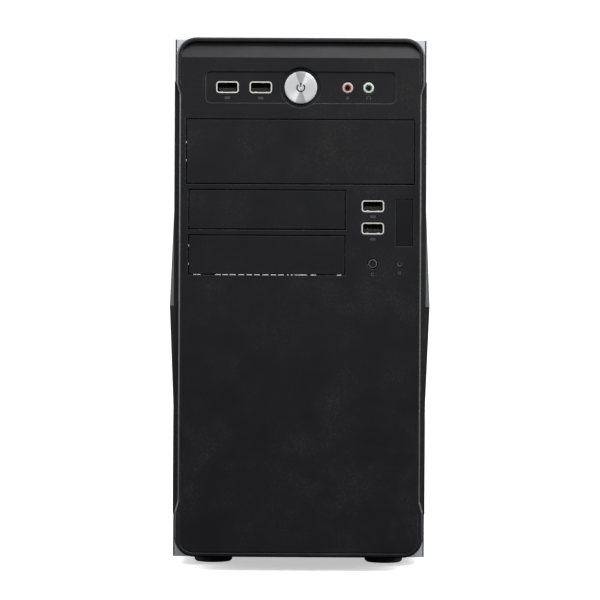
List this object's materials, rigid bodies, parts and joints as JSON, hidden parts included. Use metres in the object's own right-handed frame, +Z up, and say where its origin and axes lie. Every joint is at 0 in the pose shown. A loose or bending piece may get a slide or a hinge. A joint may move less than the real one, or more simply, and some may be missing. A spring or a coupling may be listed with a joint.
{
  "type": "desktop computer tower",
  "caption": "Upright computer case with a moulded front, bay covers, front sockets, sliding side panels and the working parts inside.",
  "frame": {"origin": "on the surface under the feet, below the centre of the whole object's box", "axes": "+X to the right seen from the front, +Y to the rear, +Z up"},
  "size_m": [0.184, 0.3974, 0.3555],
  "materials": {
    "galvanised_steel": "satin zinc-coated sheet",
    "black_painted_steel": "fine matt black paint",
    "black_plastic": "fine matt moulding",
    "dark_plastic": "matt moulding",
    "gloss_black_plastic": "gloss",
    "screw_steel": "plated",
    "stainless": "thin stainless",
    "spun_aluminium": "spun, clear lacquer",
    "heatsink_aluminium": "extruded",
    "cast_aluminium": "cast and machined",
    "brass": "turned",
    "pink_plastic": "moulded",
    "green_plastic": "moulded",
    "board_green": "solder mask",
    "clear_lamp": "diffused",
    "foot_rubber": "matt",
    "port_metal": "plated"
  },
  "bodies": {
    "chassis": {"activity_lamp": "clear_lamp", "base_pan": "galvanised_steel", "blank_badge": "gloss_black_plastic", "board_tray": "galvanised_steel", "button_housing": "dark_plastic", "button_switches": "dark_plastic", "case_screws": "screw_steel", "chassis_rivets": "screw_steel", "drive_cage_inner": "galvanised_steel", "drive_cage_left": "galvanised_steel", "drive_cage_right": "galvanised_steel", "drive_data_cable": "dark_plastic", "expansion_sockets": "dark_plastic", "feet": "foot_rubber", "front_bezel": "black_plastic", "front_frame": "galvanised_steel", "front_panel_leads": "dark_plastic", "hard_drive": "cast_aluminium", "headphone_jack": "green_plastic", "io_shield": "stainless", "left_side_grille": "dark_plastic", "main_board": "board_green", "mains_inlet": "dark_plastic", "memory_module": "board_green", "memory_slots": "dark_plastic", "microphone_jack": "pink_plastic", "power_supply_case": "galvanised_steel", "power_supply_guard": "screw_steel", "processor": "port_metal", "processor_fan_frame": "dark_plastic", "processor_heatsink": "heatsink_aluminium", "rear_fan_frame": "dark_plastic", "rear_panel": "galvanised_steel", "rear_ports": "port_metal", "right_side_grille": "dark_plastic", "side_port_board": "board_green", "side_usb_shells": "port_metal", "slot_covers": "galvanised_steel", "standoffs": "brass", "supply_loom": "dark_plastic", "top_cover": "galvanised_steel", "top_port_boards": "board_green", "top_usb_shells": "port_metal", "usb_tongues": "dark_plastic"},
    "power_button_body": {"power_button": "spun_aluminium", "power_button_carrier": "dark_plastic"},
    "reset_button_body": {"reset_button": "black_plastic"},
    "large_cover": {"bay_cover_large": "black_plastic"},
    "upper_cover": {"bay_cover_upper": "black_plastic"},
    "lower_cover": {"bay_cover_lower": "black_plastic"},
    "left_side": {"left_panel": "black_painted_steel"},
    "right_side": {"right_panel": "black_painted_steel"},
    "left_upper_screw": {"thumbscrew_left_upper": "screw_steel"},
    "left_lower_screw": {"thumbscrew_left_lower": "screw_steel"},
    "right_upper_screw": {"thumbscrew_right_upper": "screw_steel"},
    "right_lower_screw": {"thumbscrew_right_lower": "screw_steel"},
    "mains_switch": {"mains_rocker": "dark_plastic"},
    "rear_fan": {"rear_fan_rotor": "dark_plastic"},
    "processor_fan": {"processor_fan_rotor": "dark_plastic"},
    "supply_fan": {"power_supply_fan": "dark_plastic"}
  },
  "joints": [
    {"name": "power_button_press", "type": "slide", "parent": "chassis", "child": "power_button_body", "axis": [0, 1, 0], "range_m": [0, 0.002], "stiffness_N_per_m": 900, "springref_m": -0.001},
    {"name": "reset_button_press", "type": "slide", "parent": "chassis", "child": "reset_button_body", "axis": [0, 1, 0], "range_m": [0, 0.0012], "stiffness_N_per_m": 800, "springref_m": -0.0008},
    {"name": "large_cover_pull", "type": "slide", "parent": "chassis", "child": "large_cover", "axis": [0, -1, 0], "range_m": [0, 0.03]},
    {"name": "upper_cover_pull", "type": "slide", "parent": "chassis", "child": "upper_cover", "axis": [0, -1, 0], "range_m": [0, 0.03]},
    {"name": "lower_cover_pull", "type": "slide", "parent": "chassis", "child": "lower_cover", "axis": [0, -1, 0], "range_m": [0, 0.03]},
    {"name": "left_panel_slide", "type": "slide", "parent": "chassis", "child": "left_side", "axis": [0, 1, 0], "range_m": [0, 0.36]},
    {"name": "right_panel_slide", "type": "slide", "parent": "chassis", "child": "right_side", "axis": [0, 1, 0], "range_m": [0, 0.36]},
    {"name": "left_upper_thumbscrew_turn", "type": "hinge", "parent": "left_side", "child": "left_upper_screw", "pos_m": [-0.079, 0.194, 0.33], "axis": [0, 1, 0], "continuous": true},
    {"name": "left_lower_thumbscrew_turn", "type": "hinge", "parent": "left_side", "child": "left_lower_screw", "pos_m": [-0.079, 0.194, 0.03], "axis": [0, 1, 0], "continuous": true},
    {"name": "right_upper_thumbscrew_turn", "type": "hinge", "parent": "right_side", "child": "right_upper_screw", "pos_m": [0.079, 0.194, 0.33], "axis": [0, 1, 0], "continuous": true},
    {"name": "right_lower_thumbscrew_turn", "type": "hinge", "parent": "right_side", "child": "right_lower_screw", "pos_m": [0.079, 0.194, 0.03], "axis": [0, 1, 0], "continuous": true},
    {"name": "mains_switch_rock", "type": "hinge", "parent": "chassis", "child": "mains_switch", "pos_m": [0.041, 0.18455, 0.3245], "axis": [0, 0, 1], "range_deg": [-24, 0]},
    {"name": "rear_fan_spin", "type": "hinge", "parent": "chassis", "child": "rear_fan", "pos_m": [-0.028, 0.175, 0.2155], "axis": [0, 1, 0], "continuous": true},
    {"name": "processor_fan_spin", "type": "hinge", "parent": "chassis", "child": "processor_fan", "pos_m": [0.02, 0.11005, 0.205], "axis": [1, 0, 0], "continuous": true},
    {"name": "supply_fan_spin", "type": "hinge", "parent": "chassis", "child": "supply_fan", "pos_m": [-0.026, 0.178, 0.3115], "axis": [0, 1, 0], "continuous": true}
  ]
}
